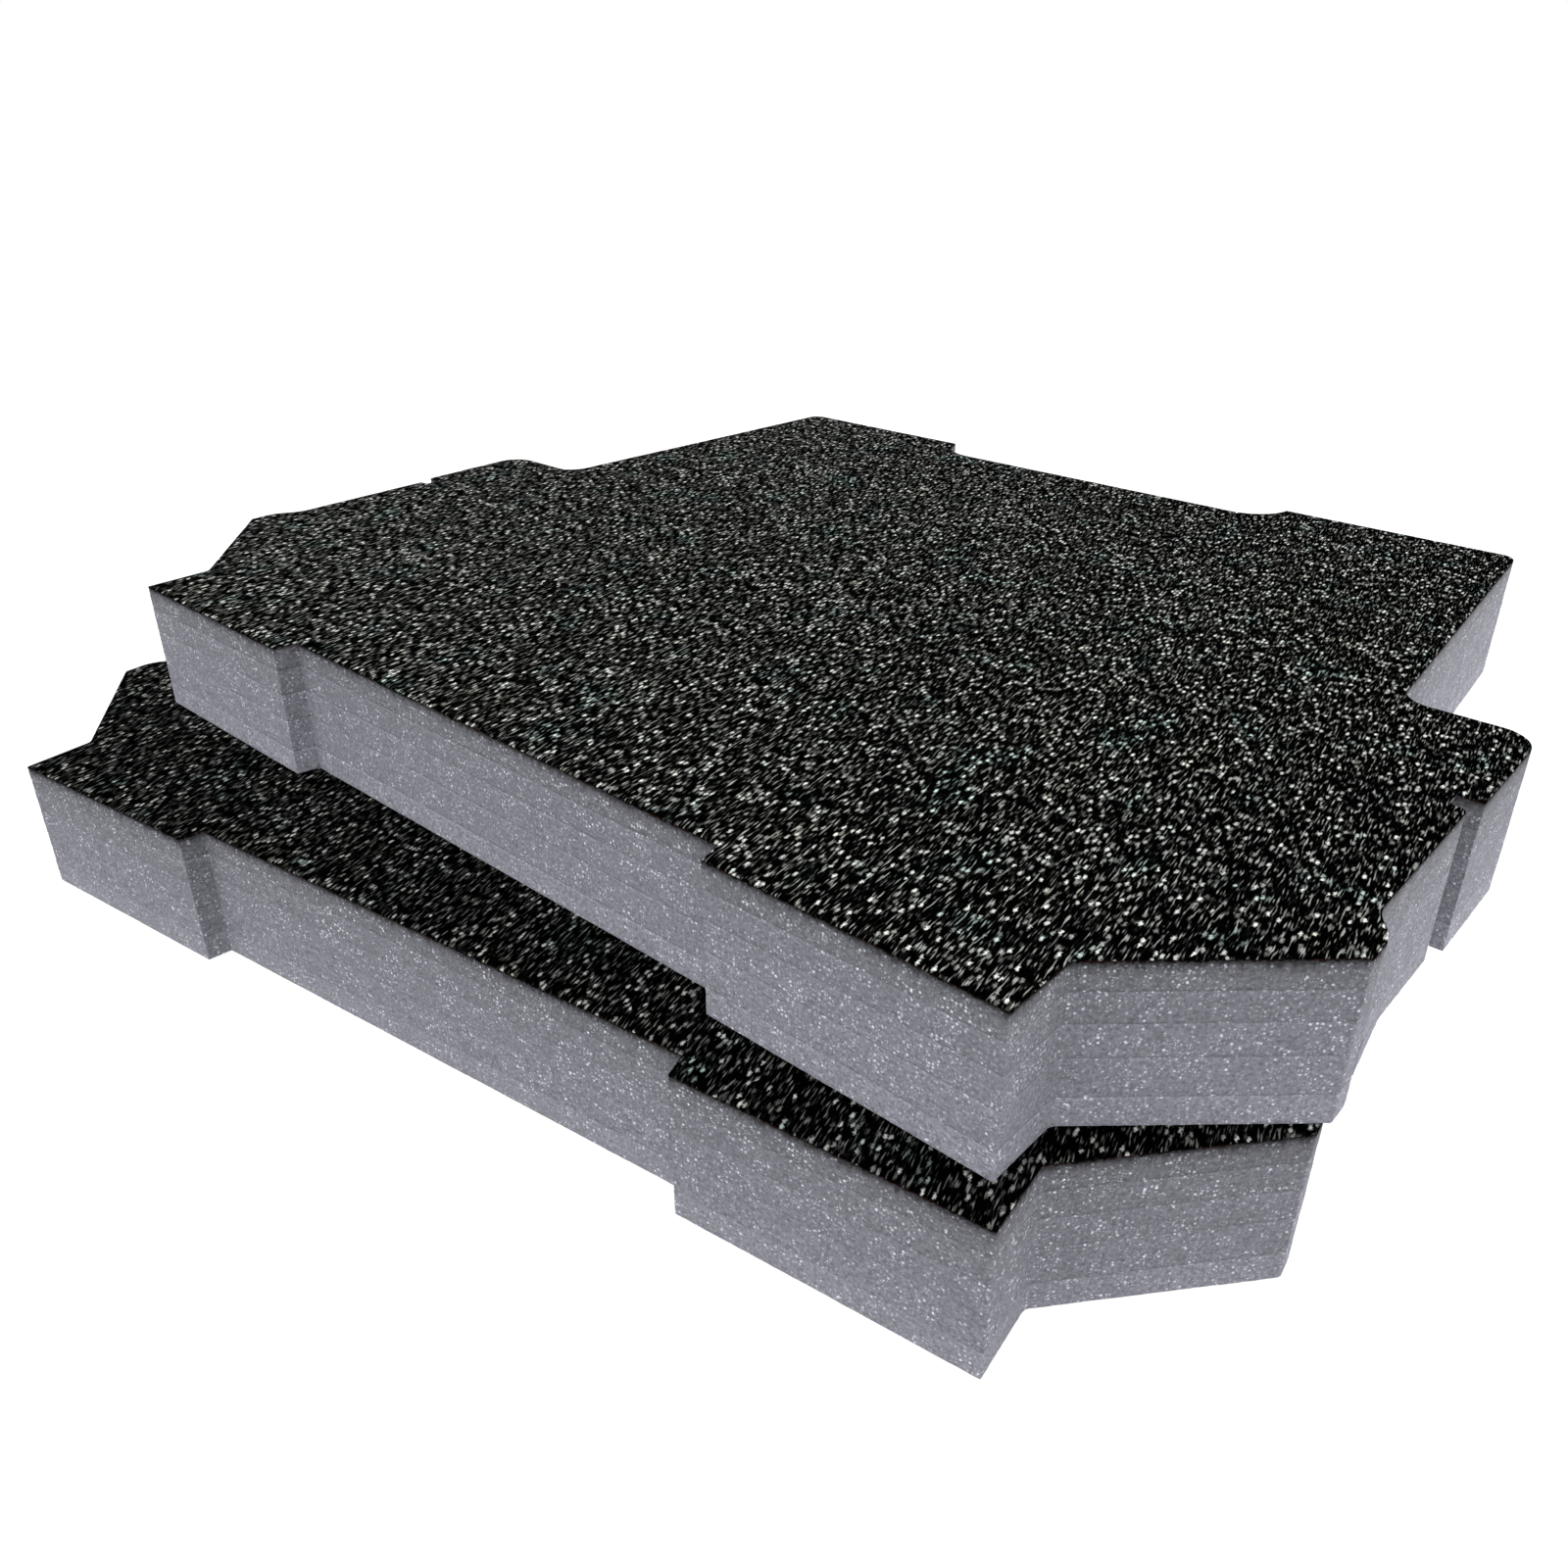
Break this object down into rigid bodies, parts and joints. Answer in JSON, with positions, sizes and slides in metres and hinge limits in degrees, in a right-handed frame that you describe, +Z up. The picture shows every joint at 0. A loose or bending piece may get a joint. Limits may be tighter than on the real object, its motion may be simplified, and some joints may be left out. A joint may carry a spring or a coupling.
{
  "type": "foam insert mats",
  "caption": "Loose foam mats stacked and slightly turned: flecked black top sheet on laminated grey foam, cut with edge recesses, chamfered front corners, slots and side tabs.",
  "frame": {"origin": "middle of the lower mat's length and depth, on its underside", "axes": "+Z up through the stack, +X to the right along the lower mat's front edge, +Y to its back"},
  "size_m": [0.5136, 0.4498, 0.1003],
  "materials": {
    "foam_core": "knife-cut closed-cell foam, matte with fine bright cells",
    "fleck_sheet": "pebbled black skin with dense light flecks, low sheen"
  },
  "bodies": {
    "lower_mat": {"lower_ply_1": "foam_core", "lower_ply_2": "foam_core", "lower_ply_3": "foam_core", "lower_ply_4": "foam_core", "lower_ply_5": "foam_core", "lower_top_sheet": "fleck_sheet"},
    "upper_mat": {"upper_ply_1": "foam_core", "upper_ply_2": "foam_core", "upper_ply_3": "foam_core", "upper_ply_4": "foam_core", "upper_ply_5": "foam_core", "upper_top_sheet": "fleck_sheet"}
  },
  "joints": [
    {"name": "upper_mat_lift", "type": "slide", "parent": "lower_mat", "child": "upper_mat", "axis": [0, 0, 1], "range_m": [0, 0.25]}
  ]
}
